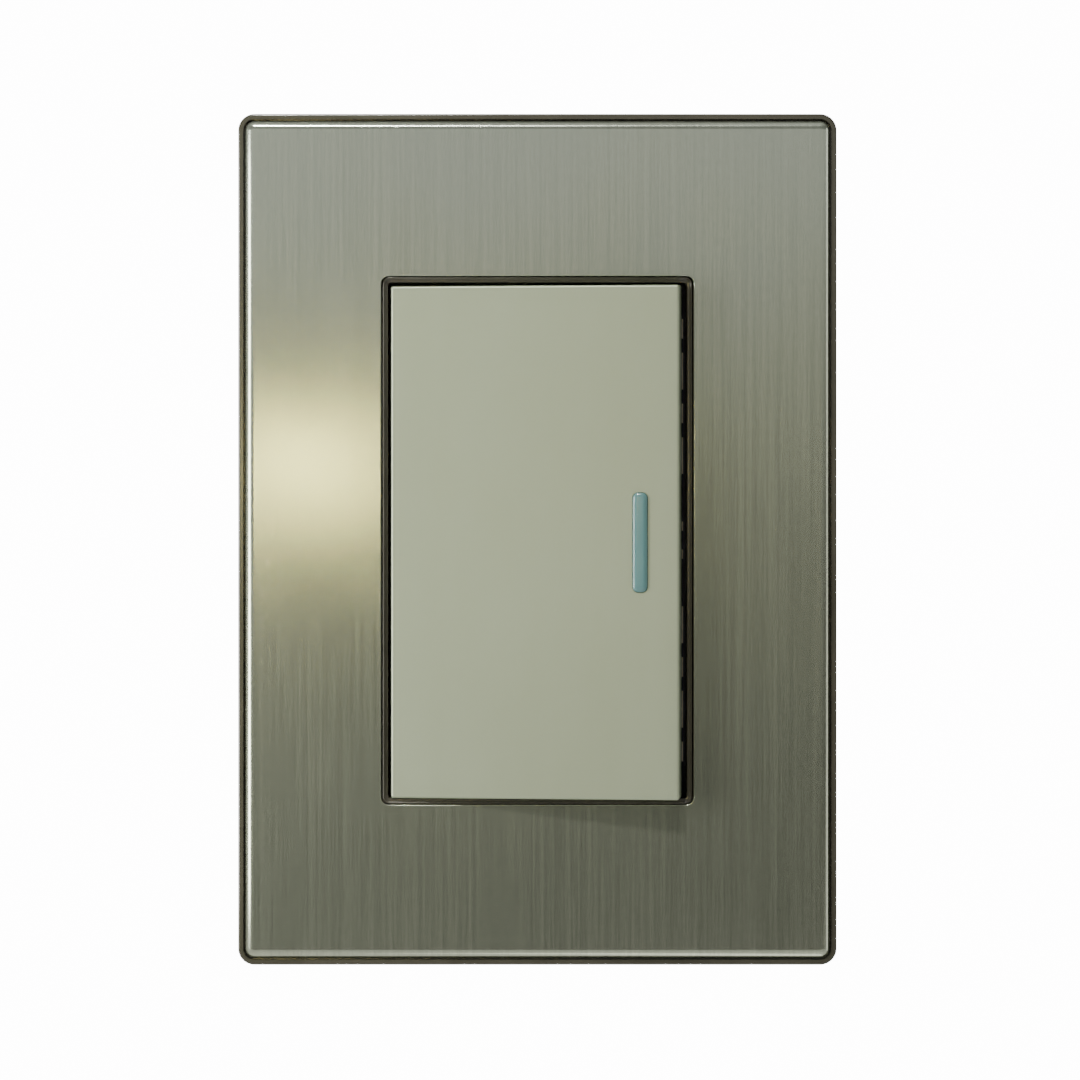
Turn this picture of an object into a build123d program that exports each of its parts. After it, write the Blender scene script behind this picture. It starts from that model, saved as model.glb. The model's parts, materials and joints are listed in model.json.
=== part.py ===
from build123d import *
import os
from math import cos, radians, sin

# Rocker wall switch with a brushed metal cover plate, for a single upright wall box.
# All sizes are in millimetres. X runs across the plate, +Z is up and +Y goes into the wall.
# Y = 0 is the wall surface, and the origin is midway between the two box-screw holes.

# ---- driving dimensions ------------------------------------------------------------

# cover plate
plate_width = 83.0          # moulded frame, outside
plate_height = 118.0
plate_front = 9.0           # metal face, in front of the wall
frame_corner_r = 2.3
frame_wall = 1.6            # outer wall of the moulded frame
web_thickness = 2.0         # moulded web behind the metal sheet
web_rib = 1.2               # upright stiffening ribs on the web
web_rib_inset = 2.0         # from the trim ring's flange
pad_chamfer = 0.35          # eases the web's edge inside the sheet's bend
rim_width = 0.75            # moulded rim seen round the metal sheet
rim_setback = 0.5           # rim lies this far behind the metal face
rim_round = 0.35

# metal sheet
sheet_thickness = 0.6
sheet_skirt = 1.4           # depth of the turned-back edge
sheet_bend_r = 1.0
sheet_gap = 0.15            # dark line between sheet and rim
window_width = 43.4         # hole in the sheet
window_height = 73.45
window_corner_r = 1.1
window_edge_r = 0.2

# trim ring inside the window
trim_gap = 0.18
trim_width = 0.72           # seen width of the ring
trim_setback = 0.1
trim_depth = 5.8
trim_flange = 2.2           # how far the flange reaches under the web
trim_flange_thickness = 1.0
trim_round = 0.25
stake_r = 0.7               # heat stakes that hold the ring to the frame
stake_head_r = 1.05
stake_head_height = 0.5

# rocker
rocker_side_gap = 0.28      # at the lowered side's front edge
rocker_end_gap = 0.3
rocker_sag = 0.12           # the rocker sits low in its play
rocker_tilt = 4.5           # each side of the middle, in degrees
rocker_pivot_depth = 6.5    # face to pivot axis
rocker_wall = 1.4
rocker_skirt = 5.0
rocker_corner_r = 0.3
rocker_edge_r = 0.25
carrier_plate = 1.4
rocker_pin_r = 1.1
rocker_ear_r = 1.4          # round end of the ears that carry the pins
rocker_ear_thickness = 2.2
pin_root = 0.5              # how far each pin runs into its ear
cover_ear_thickness = 1.8   # ears of the module cover, between the pins' ears and the cap
cover_ear_width = 6.4
cover_ear_cap = 0.8         # plastic over the bore
ear_notch = 0.6             # room beside the cover's ears

# comb along the foot of the rocker's long sides
comb_height = 0.8
comb_reach = 0.35           # teeth stand out beyond the skirt
comb_pitch = 5.88
comb_long_tooth = 5.1
comb_short_tooth = 2.7
comb_inner_tooth = 1.3      # pair of small teeth beside the middle
comb_inner_place = 1.95

# light bar
lens_width = 2.2
lens_length = 14.2
lens_inset = 5.4            # from the rocker's long side
lens_proud = 0.4
lens_flange = 0.9           # wider than the bar on every side
lens_flange_thickness = 0.8
lens_foot_depth = 7.2       # from the rocker's face
lens_foot_inset = 0.2       # narrower than the bar on every side
lens_crown = 0.95           # rounded share of the proud height

# plunger and spring
tube_r = 3.2
bore_r = 2.15
tube_end = 1.2              # Y of the tube's mouth with the rocker level
plunger_r = 2.1
plunger_nose_r = 1.5
plunger_head_length = 3.0
plunger_sink = 0.2          # head lies this far inside the tube's mouth
plunger_neck = 1.0          # nose starts this far into the head
spring_floor = 0.6          # plastic under the spring
spring_wire_r = 0.2
spring_r = 1.6              # to the wire's centre
spring_turns = 6

# steel mounting bridge
bridge_side_inset = 11.5    # from the frame's outside
bridge_end_inset = 6.0
bridge_thickness = 1.2
bridge_flange = 3.4         # folded side flanges, overall height
bridge_corner_r = 3.0
box_screw_spacing = 83.3
box_screw_hole_r = 2.1
hook_x = 18.0               # snap hooks of the frame, through the bridge
hook_clearance = 5.2        # from the trim ring's flange
hook_thickness = 1.4
hook_width = 5.0
hook_barb = 0.7
hook_tip = 1.4              # behind the wall surface

# switch module
module_side_inset = 0.47    # from the rocker's long side
module_end_margin = 0.225   # beyond the pivot ears
module_wall = 1.6
module_corner_r = 1.5
flange_margin = 2.4         # module flange beyond the housing
flange_thickness = 1.2
deck_thickness = 1.6
rear_cover_thickness = 1.6
rear_cover_edge = 0.5
latch_height = 0.7
latch_width = 8.0
latch_slope = 3.0
latch_z = 20.0
spigot_depth = 2.2          # module cover's rim inside the housing
spigot_wall = 1.2
tube_room = (2.0, 1.5)      # round the plunger tube, across and along
lens_room = (1.5, 1.0)      # round the light bar's foot
inner_corner_r = 0.5
boss_r = 2.4                # take the rear cover's screws
boss_floor = 0.8
cover_screw_r = 1.0
cover_screw_head_r = 2.2
cover_screw_head_height = 0.9
cover_screw_recess = (2.8, 0.6, 0.6)    # cross recess: length, width, depth
collar_width = 1.2          # raised round the screwdriver holes
collar_height = 0.6
grip_length = 23.2          # grooves across the rear cover
grip_width = 1.6
grip_depth = 0.5
grip_pitch = 4.0

# contact lever, rocking on its pin
lever_pivot_y = 8.0
lever_ratio = 16 / 9        # lever's turn for each degree of the rocker's
lever_end_margin = 0.2      # beyond the contacts
lever_thickness = 0.8
lever_width = 7.8
lever_standoff = 1.9        # pin axis to the lever's rear face
lever_ear_thickness = 0.8
pivot_pin_r = 1.0
contact_inset = 8.0         # contact points, from the module's inner wall
contact_r = 1.6
contact_height = 1.2
contact_edge_r = 0.4
rivet_r = 0.9
rivet_head_r = 1.3
rivet_head_height = 0.3
rivet_fit = 0.02
lever_corner_r = 1.2

# terminals
strip_width = 5.0
strip_thickness = 0.8
strip_clearance = 0.7       # round end of the lever's ears to the strips
terminal_inset = 10.0       # terminal's middle, from the module's end
terminal_reach = 4.5        # strip runs on past the screw
cage_width = 8.4
cage_height = 6.0
cage_wall = 1.0
cage_nut = 2.0
wire_space = 3.8
clamp_travel = 3.0
clamp_spare = 1.35          # room left between the cage and the screw's head
screw_r = 1.5
screw_head_r = 2.9
screw_head_height = 2.0
screw_slot_width = 0.8
screw_slot_depth = 0.9
screw_cross_length = 3.2
screw_edge = 0.3
wire_hole_r = 1.9
access_hole_r = 2.4

# lamp behind the light bar
board_width = 4.4
board_post_width = 3.0
board_post_depth = 2.0
board_post_inset = 2.0      # post's middle from the board's end
board_length = 26.0
board_thickness = 1.0
board_front = 4.6
lamp_r = 1.6
lamp_length = 10.0
lamp_round = 1.1
resistor_r = 0.9
resistor_round = 0.3
resistor_length = 3.6
lead_r = 0.25
lead_bend_r = 0.4
lead_reach = 0.8            # from a component's end to its hole in the board

# clearances
slip = 0.15                 # between pieces that pass one another
seat = 0.05                 # between pieces that fit together
running = 0.05              # radial, shaft in hole

# ---- places worked out from the driving dimensions ---------------------------------

sheet_width = plate_width - 2 * (rim_width + sheet_gap)
sheet_height = plate_height - 2 * (rim_width + sheet_gap)
sheet_corner_r = frame_corner_r - rim_width - sheet_gap
sheet_back = -(plate_front - sheet_thickness)
web_back = sheet_back + web_thickness
groove_floor = -(plate_front - sheet_skirt) + seat
trim_outer_width = window_width - 2 * trim_gap
trim_outer_height = window_height - 2 * trim_gap
trim_inner_width = trim_outer_width - 2 * trim_width
trim_inner_height = trim_outer_height - 2 * trim_width
swing_room = rocker_pivot_depth * sin(radians(rocker_tilt))
half_rocker = (trim_inner_width / 2 - rocker_side_gap - swing_room) / cos(radians(rocker_tilt))
rocker_width = 2 * half_rocker
rocker_height = trim_inner_height - 2 * rocker_end_gap
rocker_face = -(plate_front + half_rocker * sin(radians(rocker_tilt)))
rocker_axis = rocker_face + rocker_pivot_depth
skirt_foot = rocker_face + rocker_skirt
lens_offset = half_rocker - lens_inset
bridge_width = plate_width - 2 * bridge_side_inset
bridge_height = plate_height - 2 * bridge_end_inset
hook_z = trim_outer_height / 2 + trim_flange + hook_clearance
flange_front = -(bridge_thickness + flange_thickness)
strip_front = lever_pivot_y + lever_standoff + strip_clearance
deck_front = strip_front + strip_thickness
deck_back = deck_front + deck_thickness
screw_head_front = deck_back + cage_nut + clamp_travel + clamp_spare
screw_head_back = screw_head_front + screw_head_height
module_depth = screw_head_back + seat       # housing, behind the wall surface
lens_back = rocker_face + rocker_wall + lens_flange_thickness
carrier_top = rocker_face + rocker_wall
carrier_width = rocker_width - 2 * (rocker_wall + seat)
carrier_height = rocker_height - 2 * (rocker_wall + seat)
cover_ear_outer = carrier_height / 2 - 2 * slip
cover_ear_inner = cover_ear_outer - cover_ear_thickness
rocker_ear_outer = cover_ear_inner - 2 * slip
module_width = 2 * (half_rocker - module_side_inset)
module_height = 2 * (cover_ear_outer + module_end_margin)
contact_place = module_width / 2 - module_wall - contact_inset
lever_half_length = contact_place + contact_r + lever_end_margin
terminal_z = module_height / 2 - terminal_inset
spring_seat = carrier_top + carrier_plate + spring_floor
cover_screw_z = terminal_z - cage_height / 2 - boss_r - 2 * slip
lever_swing = rocker_tilt * lever_ratio
lever_front = lever_pivot_y - lever_standoff - lever_thickness
plunger_tip = lever_front - seat
plunger_back = tube_end - plunger_head_length - plunger_sink
closed_contact = (
    lever_pivot_y
    + (contact_place + contact_r) * sin(radians(lever_swing))
    - (lever_standoff - contact_height) * cos(radians(lever_swing))
)
fixed_contact_front = closed_contact + slip
wire_y = strip_front - wire_space / 2 - seat
terminals = {
    "common": (0.0, -1),
    "left": (-contact_place, 1),
    "right": (contact_place, 1),
}
board_x = lens_offset


# ---- helpers -----------------------------------------------------------------------

def face_plane(y):
    """A sketch plane at depth y whose normal points out of the wall."""
    return Plane(origin=(0, y, 0), x_dir=(1, 0, 0), z_dir=(0, -1, 0))


def slab(width, height, back, front, corner=0.0, x=0.0, z=0.0):
    """A plate of that outline between two depths, with rounded upright corners."""
    outline = RectangleRounded(width, height, corner) if corner else Rectangle(width, height)
    return extrude(face_plane(back) * Pos(x, z) * outline, back - front)


def box(x, y, z):
    """A block between the two ends given for each axis."""
    size = [abs(b - a) for a, b in (x, y, z)]
    middle = [(a + b) / 2 for a, b in (x, y, z)]
    return Pos(*middle) * Box(*size)


def rod_y(radius, start, end, x=0.0, z=0.0):
    return Pos(x, (start + end) / 2, z) * Rot(90, 0, 0) * Cylinder(radius, abs(end - start))


def rod_z(radius, start, end, x=0.0, y=0.0):
    return Pos(x, y, (start + end) / 2) * Cylinder(radius, abs(end - start))


def prism_x(corners, start, end):
    """An outline of (y, z) corners, drawn out along X."""
    half = abs(end - start) / 2
    return Pos((start + end) / 2, 0, 0) * extrude(Plane.YZ * Polygon(*corners, align=None), half, both=True)


def prism_z(corners, start, end):
    """An outline of (x, y) corners, drawn out along Z."""
    half = abs(end - start) / 2
    return Pos(0, 0, (start + end) / 2) * extrude(Polygon(*corners, align=None), half, both=True)


def front_edges(part):
    return part.faces().sort_by(Axis.Y)[0].edges()


def back_edges(part):
    return part.faces().sort_by(Axis.Y)[-1].edges()


def turned(part, angle, y):
    """The part turned about the upright axis at depth y."""
    return Pos(0, y, 0) * Rot(0, 0, angle) * Pos(0, -y, 0) * part


def tilted(part):
    """A rocker piece, from level to rest with its right side out."""
    return Pos(0, 0, -rocker_sag) * turned(part, -rocker_tilt, rocker_axis)


def swung(part):
    """A lever piece, from level to rest with its right contact closed."""
    return turned(part, lever_swing, lever_pivot_y)


def four_corners(x, z):
    return [(sx * x, sz * z) for sx in (-1, 1) for sz in (-1, 1)]


# ---- cover plate -------------------------------------------------------------------

def front_plate():
    back = -(plate_front - sheet_skirt)
    outside = slab(sheet_width, sheet_height, back, -plate_front, sheet_corner_r)
    outside = fillet(front_edges(outside), sheet_bend_r)
    inside = slab(
        sheet_width - 2 * sheet_thickness,
        sheet_height - 2 * sheet_thickness,
        back,
        sheet_back,
        sheet_corner_r - sheet_thickness,
    )
    inside = fillet(front_edges(inside), sheet_bend_r - sheet_thickness)
    window = slab(window_width, window_height, back, -plate_front, window_corner_r)
    sheet = outside - inside - window
    rim = sheet.faces().sort_by(Axis.Y)[0].inner_wires()[0].edges()
    return fillet(rim, window_edge_r)


def hook(x, z):
    """Snap hook from the web through the bridge, its barb on the side away from the window."""
    out = 1 if z > 0 else -1
    ends = (x - hook_width / 2, x + hook_width / 2)
    barb = [(slip, z), (slip, z + out * hook_barb), (hook_tip, z)]
    return box(ends, (web_back, hook_tip), (z - out * hook_thickness, z)) + prism_x(barb, *ends)


def plate_carrier():
    front = -(plate_front - rim_setback)
    body = slab(plate_width, plate_height, 0, front, frame_corner_r)
    body = fillet(front_edges(body), rim_round)
    body -= slab(
        sheet_width + 2 * sheet_gap,
        sheet_height + 2 * sheet_gap,
        groove_floor,
        front,
        sheet_corner_r + sheet_gap,
    )
    pad_inset = 2 * (sheet_thickness + seat)
    pad = slab(
        sheet_width - pad_inset,
        sheet_height - pad_inset,
        groove_floor,
        sheet_back,
        sheet_corner_r - sheet_thickness,
    )
    body += chamfer(front_edges(pad), pad_chamfer)
    body -= slab(
        plate_width - 2 * frame_wall,
        plate_height - 2 * frame_wall,
        0,
        web_back,
        frame_corner_r - frame_wall,
    )
    body -= slab(
        trim_outer_width + 2 * seat,
        trim_outer_height + 2 * seat,
        web_back,
        sheet_back,
        window_corner_r,
    )
    rib_x = trim_outer_width / 2 + trim_flange + web_rib_inset
    rib_foot = -(bridge_flange + 4 * slip)
    for side in (-1, 1):
        body += slab(web_rib, plate_height - 2 * frame_wall, rib_foot, web_back, x=side * rib_x)
    for x, z in four_corners(hook_x, hook_z):
        body += hook(x, z)
    flange_y = web_back + trim_flange_thickness
    for x, z in stake_places():
        body += rod_y(stake_r, web_back, flange_y + stake_head_height, x, z)
        body += rod_y(stake_head_r, flange_y, flange_y + stake_head_height, x, z)
    return body


def stake_places():
    x = trim_outer_width / 2 + trim_flange / 2
    z = trim_outer_height / 2 + trim_flange / 2
    return [(sx * x, sz * trim_outer_height / 4) for sx in (-1, 1) for sz in (-1, 1)] + [(0, -z), (0, z)]


def window_trim():
    front = -(plate_front - trim_setback)
    ring = slab(trim_outer_width, trim_outer_height, front + trim_depth, front, window_corner_r - trim_gap)
    ring = fillet(front_edges(ring), trim_round)
    ring += slab(
        trim_outer_width + 2 * trim_flange,
        trim_outer_height + 2 * trim_flange,
        web_back + trim_flange_thickness,
        web_back,
        window_corner_r,
    )
    ring -= slab(trim_inner_width, trim_inner_height, front + trim_depth, front, inner_corner_r)
    for x, z in stake_places():
        ring -= rod_y(stake_r + seat, web_back, web_back + trim_flange_thickness, x, z)
    inner = ring.faces().sort_by(Axis.Y)[0].inner_wires()[0].edges()
    return fillet(inner, trim_round)


# ---- mounting bridge ---------------------------------------------------------------

def mounting_bridge():
    t = bridge_thickness
    body = slab(bridge_width, bridge_height, 0, -t, bridge_corner_r)
    flange_height = bridge_height - 4 * bridge_corner_r
    for side in (-1, 1):
        edge = side * bridge_width / 2
        body += box((edge, edge - side * t), (0, -bridge_flange), (-flange_height / 2, flange_height / 2))
    body -= slab(module_width + 4 * slip, module_height + 4 * slip, 0, -t, module_corner_r)
    for side in (-1, 1):
        body -= rod_y(box_screw_hole_r, 0, -t, 0, side * box_screw_spacing / 2)
    for x, z in four_corners(hook_x, hook_z):
        out = 1 if z > 0 else -1
        body -= box(
            (x - hook_width / 2 - slip, x + hook_width / 2 + slip),
            (0, -t),
            (z - out * (hook_thickness + slip), z + out * slip),
        )
    return body


# ---- rocker ------------------------------------------------------------------------

def lens_slot(grow, back, front):
    """The light bar's outline, grown on every side, between two depths."""
    outline = SlotOverall(lens_length + 2 * grow, lens_width + 2 * grow, rotation=90)
    return extrude(face_plane(back) * Pos(lens_offset, 0) * outline, back - front)


def rocker_cap():
    cap = slab(rocker_width, rocker_height, skirt_foot, rocker_face, rocker_corner_r)
    cap = fillet(front_edges(cap), rocker_edge_r)
    cap -= slab(
        rocker_width - 2 * rocker_wall,
        rocker_height - 2 * rocker_wall,
        skirt_foot,
        carrier_top,
    )
    return tilted(cap - lens_slot(seat, carrier_top, rocker_face))


def comb_teeth():
    """The height of the middle and the length of each tooth on one long side."""
    teeth = [(comb_inner_place, comb_inner_tooth)]
    teeth += [(n * comb_pitch, comb_short_tooth if n % 2 else comb_long_tooth) for n in range(2, 6)]
    return teeth + [(-place, length) for place, length in teeth]


def rocker_carrier():
    comb_foot = skirt_foot + comb_height
    body = slab(carrier_width, carrier_height, comb_foot, carrier_top)
    inner = (carrier_width - 2 * rocker_wall, carrier_height - 2 * rocker_wall)
    body -= slab(*inner, comb_foot, carrier_top + carrier_plate)
    for side in (-1, 1):
        ledge = (side * (carrier_width / 2 - seat), side * (half_rocker - slip))
        body += box(ledge, (skirt_foot, comb_foot), (-carrier_height / 2, carrier_height / 2))
        tooth_x = (side * (half_rocker - 2 * slip), side * (half_rocker + comb_reach))
        for place, length in comb_teeth():
            body += box(tooth_x, (skirt_foot, comb_foot), (place - length / 2, place + length / 2))
    body -= lens_slot(lens_flange + seat, lens_back + seat, carrier_top)
    body -= lens_slot(slip, comb_foot, carrier_top)
    body += rod_y(tube_r, carrier_top + carrier_plate, tube_end)
    body -= rod_y(bore_r, spring_seat, tube_end)
    plate_back = carrier_top + carrier_plate
    for side in (-1, 1):
        ear = (side * (rocker_ear_outer - rocker_ear_thickness), side * rocker_ear_outer)
        body += box((-rocker_ear_r, rocker_ear_r), (plate_back, rocker_axis), ear)
        body += rod_z(rocker_ear_r, *ear, 0, rocker_axis)
        body += rod_z(rocker_pin_r, ear[1] - side * pin_root, side * cover_ear_outer, 0, rocker_axis)
        notch = cover_ear_width / 2 + ear_notch
        end_wall = (side * inner[1] / 2, side * carrier_height / 2)
        body -= box((-notch, notch), (plate_back, comb_foot), end_wall)
    return tilted(body)


def locator_lens():
    bar = lens_slot(0, rocker_face + rocker_wall, rocker_face - lens_proud)
    bar = fillet(front_edges(bar), lens_proud * lens_crown)
    bar += lens_slot(lens_flange, lens_back, carrier_top)
    bar += lens_slot(-lens_foot_inset, rocker_face + lens_foot_depth, lens_back)
    return tilted(bar)


def plunger():
    head = rod_y(plunger_r, plunger_back, plunger_back + plunger_head_length)
    centre = plunger_tip - plunger_nose_r
    nose = rod_y(plunger_nose_r, plunger_back + plunger_neck, centre)
    return tilted(head + nose + Pos(0, centre, 0) * Sphere(plunger_nose_r))


def plunger_spring():
    start = spring_seat + spring_wire_r + seat
    length = plunger_back - spring_wire_r - seat - start
    path = Helix(length / spring_turns, length, spring_r)
    wire = sweep(Plane(path @ 0, z_dir=path % 0) * Circle(spring_wire_r), path)
    return tilted(Pos(0, start, 0) * Rot(-90, 0, 0) * wire)


# ---- switch module -----------------------------------------------------------------

def module_cover():
    width = module_width + 2 * flange_margin
    height = module_height + 2 * flange_margin
    body = slab(width, height, -bridge_thickness, flange_front, module_corner_r)
    rim = (module_width - 2 * (module_wall + seat), module_height - 2 * (module_wall + seat))
    rim_back = spigot_depth - bridge_thickness
    body += slab(*rim, rim_back, -bridge_thickness, inner_corner_r)
    inside = (rim[0] - 2 * spigot_wall, rim[1] - 2 * spigot_wall)
    body -= slab(*inside, rim_back, -bridge_thickness, inner_corner_r)
    tube_hole = (2 * (tube_r + tube_room[0]), 2 * (tube_r + tube_room[1]))
    body -= slab(*tube_hole, -bridge_thickness, flange_front, inner_corner_r)
    lens_hole = (lens_width + 2 * lens_room[0], lens_length + 2 * lens_room[1])
    body -= slab(*lens_hole, -bridge_thickness, flange_front, inner_corner_r, x=lens_offset)
    half = cover_ear_width / 2
    top = rocker_axis - rocker_pin_r - cover_ear_cap
    for side in (-1, 1):
        ear_z = (side * cover_ear_inner, side * cover_ear_outer)
        body += box((-half, half), (flange_front, top), ear_z)
        body -= rod_z(rocker_pin_r + running, ear_z[0], ear_z[1], 0, rocker_axis)
    return body


def cage_window(x, z, grow):
    """Space that a clamp cage takes through the deck."""
    w = cage_width / 2 + grow
    h = cage_height / 2 + grow
    return (x - w, x + w), (z - h, z + h)


def module_housing():
    front = -bridge_thickness
    body = slab(module_width, module_height, module_depth, front, module_corner_r)
    inside = (module_width - 2 * module_wall, module_height - 2 * module_wall)
    body -= slab(*inside, deck_front, front, inner_corner_r)
    body -= slab(*inside, module_depth, deck_back, inner_corner_r)
    for x, up in terminals.values():
        z = up * terminal_z
        across, along = cage_window(x, z, 2 * slip)
        body -= box(across, (deck_front, deck_back), along)
        end = up * module_height / 2
        body -= rod_z(wire_hole_r, end - up * module_wall, end, x, wire_y)
    for side in (-1, 1):
        place = side * (board_length / 2 - board_post_inset)
        across = (board_x - board_post_width / 2, board_x + board_post_width / 2)
        along = (place - board_post_depth / 2, place + board_post_depth / 2)
        body += box(across, (board_front + board_thickness, deck_front), along)
    for x, z in cover_screw_places():
        body += rod_y(boss_r, deck_front + seat, module_depth, x, z)
        body -= rod_y(cover_screw_r + seat, deck_back + boss_floor, module_depth, x, z)
    for side in (-1, 1):
        wall = side * module_width / 2
        tip = wall + side * latch_height
        root = wall - side * seat
        wedge = [(root, slip), (tip, slip), (root, slip + latch_slope)]
        for z in (-latch_z, latch_z):
            body += prism_z(wedge, z - latch_width / 2, z + latch_width / 2)
    return body


def cover_screw_places():
    upper = [(0.0, cover_screw_z)]
    return upper + [(side * contact_place, -cover_screw_z) for side in (-1, 1)]


def rear_cover():
    back = module_depth + rear_cover_thickness
    body = slab(module_width, module_height, back, module_depth, module_corner_r)
    body = chamfer(back_edges(body), rear_cover_edge)
    for x, up in terminals.values():
        z = up * terminal_z
        collar_back = back + collar_height
        body += rod_y(access_hole_r + collar_width, back, collar_back, x, z)
        body -= rod_y(access_hole_r, module_depth, collar_back, x, z)
    for x, z in cover_screw_places():
        body -= rod_y(cover_screw_r + 2 * slip, module_depth, back, x, z)
        body -= rod_y(cover_screw_head_r + slip, back - cover_screw_head_height, back, x, z)
    for n in range(-2, 3):
        body -= slab(grip_length, grip_width, back, back - grip_depth, z=n * grip_pitch)
    return body


def cover_screws():
    back = module_depth + rear_cover_thickness
    head_front = back - cover_screw_head_height
    length, width, depth = cover_screw_recess
    screws = []
    for x, z in cover_screw_places():
        screw = rod_y(cover_screw_head_r, head_front, back, x, z)
        screw += rod_y(cover_screw_r, deck_back + 2 * boss_floor, head_front, x, z)
        screw -= slab(length, width, back, back - depth, x=x, z=z)
        screw -= slab(width, length, back, back - depth, x=x, z=z)
        screws.append(screw)
    return Compound(children=screws)


# ---- contacts ----------------------------------------------------------------------

def contact_lever():
    rear = lever_pivot_y - lever_standoff
    strip = slab(2 * lever_half_length, lever_width, rear, lever_front, lever_corner_r)
    for side in (-1, 1):
        outer = side * lever_width / 2
        inner = outer - side * lever_ear_thickness
        strip += box((-lever_standoff, lever_standoff), (rear, lever_pivot_y), (inner, outer))
        strip += rod_z(lever_standoff, inner, outer, 0, lever_pivot_y)
        strip -= rod_z(pivot_pin_r + running, inner, outer, 0, lever_pivot_y)
        strip -= rod_y(rivet_r + rivet_fit, lever_front, rear, side * contact_place)
    return swung(strip)


def moving_contacts():
    rear = lever_pivot_y - lever_standoff
    rivets = []
    for side in (-1, 1):
        x = side * contact_place
        head = rod_y(contact_r, rear, rear + contact_height, x)
        rivet = fillet(back_edges(head), contact_edge_r) + rod_y(rivet_r, lever_front, rear, x)
        rivet += rod_y(rivet_head_r, lever_front - rivet_head_height, lever_front, x)
        rivets.append(swung(rivet))
    return Compound(children=rivets)


def lever_pivot_pin():
    reach = lever_width / 2 + slip + 2 * strip_thickness
    return rod_z(pivot_pin_r, -reach, reach, 0, lever_pivot_y)


def strip_end(up):
    return up * (terminal_z + terminal_reach)


def common_terminal():
    cheek = lever_width / 2 + slip
    base_end = cheek + strip_thickness
    half = strip_width / 2
    strip = box((-half, half), (strip_front, deck_front), (strip_end(-1), base_end))
    for side in (-1, 1):
        ends = (side * cheek, side * base_end)
        strip += box((-half, half), (lever_pivot_y, deck_front), ends)
        strip += rod_z(half, ends[0], ends[1], 0, lever_pivot_y)
        strip -= rod_z(pivot_pin_r + rivet_fit, ends[0], ends[1], 0, lever_pivot_y)
    return strip


def traveller_terminal(side):
    x = side * contact_place
    half = strip_width / 2
    strip = box((x - half, x + half), (strip_front, deck_front), (-half, strip_end(1)))
    return strip - rod_y(rivet_r + rivet_fit, strip_front, deck_front, x)


def fixed_contacts():
    rivets = []
    for side in (-1, 1):
        x = side * contact_place
        head = rod_y(contact_r, fixed_contact_front, strip_front, x)
        head = fillet(front_edges(head), contact_edge_r)
        rivets.append(head + rod_y(rivet_r, strip_front, deck_front, x))
    return Compound(children=rivets)


def terminal_cage(x, up):
    z = up * terminal_z
    front = wire_y - wire_space / 2 - cage_wall
    back = deck_back + cage_nut
    across, along = cage_window(x, z, 0)
    body = box(across, (front, back), along)
    inner = (across[0] + cage_wall, across[1] - cage_wall)
    body -= box(inner, (front + cage_wall, deck_back), along)
    return body - rod_y(screw_r + running, deck_back, back, x, z)


def terminal_screw(x, up):
    z = up * terminal_z
    shank = rod_y(screw_r, deck_front + seat, screw_head_front, x, z)
    head = rod_y(screw_head_r, screw_head_front, screw_head_back, x, z)
    head = chamfer(back_edges(head), screw_edge)
    slot_floor = screw_head_back - screw_slot_depth
    for width, height in ((2 * screw_head_r, screw_slot_width), (screw_slot_width, screw_cross_length)):
        head -= slab(width, height, screw_head_back, slot_floor, x=x, z=z)
    return shank + head


# ---- lamp --------------------------------------------------------------------------

def lamp_board():
    half = board_width / 2
    ends = (-board_length / 2, board_length / 2)
    return box((board_x - half, board_x + half), (board_front, board_front + board_thickness), ends)


def locator_lamp():
    y = board_front - lamp_r - slip
    glass = rod_z(lamp_r, -lamp_length / 2, lamp_length / 2, board_x, y)
    return fillet(glass.edges().filter_by(GeomType.CIRCLE), lamp_round)


def lamp_resistor():
    y = board_front - resistor_r - slip
    start = lamp_length / 2 + 2 * lead_reach
    body = rod_z(resistor_r, start, start + resistor_length, board_x, y)
    return fillet(body.edges().filter_by(GeomType.CIRCLE), resistor_round)


def lead(z_body, z_board, y):
    """A bent wire from the end of a component down to the board."""
    bend = [(board_x, y, z_body), (board_x, y, z_board), (board_x, board_front, z_board)]
    path = FilletPolyline(*bend, radius=lead_bend_r)
    return sweep(Plane(path @ 0, z_dir=path % 0) * Circle(lead_r), path)


def lamp_leads():
    lamp_y = board_front - lamp_r - slip
    resistor_y = board_front - resistor_r - slip
    end = lamp_length / 2
    resistor_end = end + 2 * lead_reach + resistor_length
    leads = [
        lead(-end, -end - lead_reach, lamp_y),
        lead(end, end + lead_reach, lamp_y),
        lead(resistor_end, resistor_end + lead_reach, resistor_y),
    ]
    return Compound(children=leads)


# ---- write the parts ---------------------------------------------------------------

def every_part():
    parts = {
        "front_plate": front_plate(),
        "plate_carrier": plate_carrier(),
        "window_trim": window_trim(),
        "mounting_bridge": mounting_bridge(),
        "rocker_cap": rocker_cap(),
        "rocker_carrier": rocker_carrier(),
        "locator_lens": locator_lens(),
        "plunger": plunger(),
        "plunger_spring": plunger_spring(),
        "module_cover": module_cover(),
        "module_housing": module_housing(),
        "rear_cover": rear_cover(),
        "cover_screws": cover_screws(),
        "contact_lever": contact_lever(),
        "moving_contacts": moving_contacts(),
        "lever_pivot_pin": lever_pivot_pin(),
        "common_terminal": common_terminal(),
        "traveller_terminal_left": traveller_terminal(-1),
        "traveller_terminal_right": traveller_terminal(1),
        "fixed_contacts": fixed_contacts(),
        "lamp_board": lamp_board(),
        "locator_lamp": locator_lamp(),
        "lamp_resistor": lamp_resistor(),
        "lamp_leads": lamp_leads(),
    }
    for name, (x, up) in terminals.items():
        parts["terminal_cage_" + name] = terminal_cage(x, up)
        parts["terminal_screw_" + name] = terminal_screw(x, up)
    return parts


os.makedirs("parts", exist_ok=True)
for node, shape in every_part().items():
    export_step(shape, f"parts/{node}.step")
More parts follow.
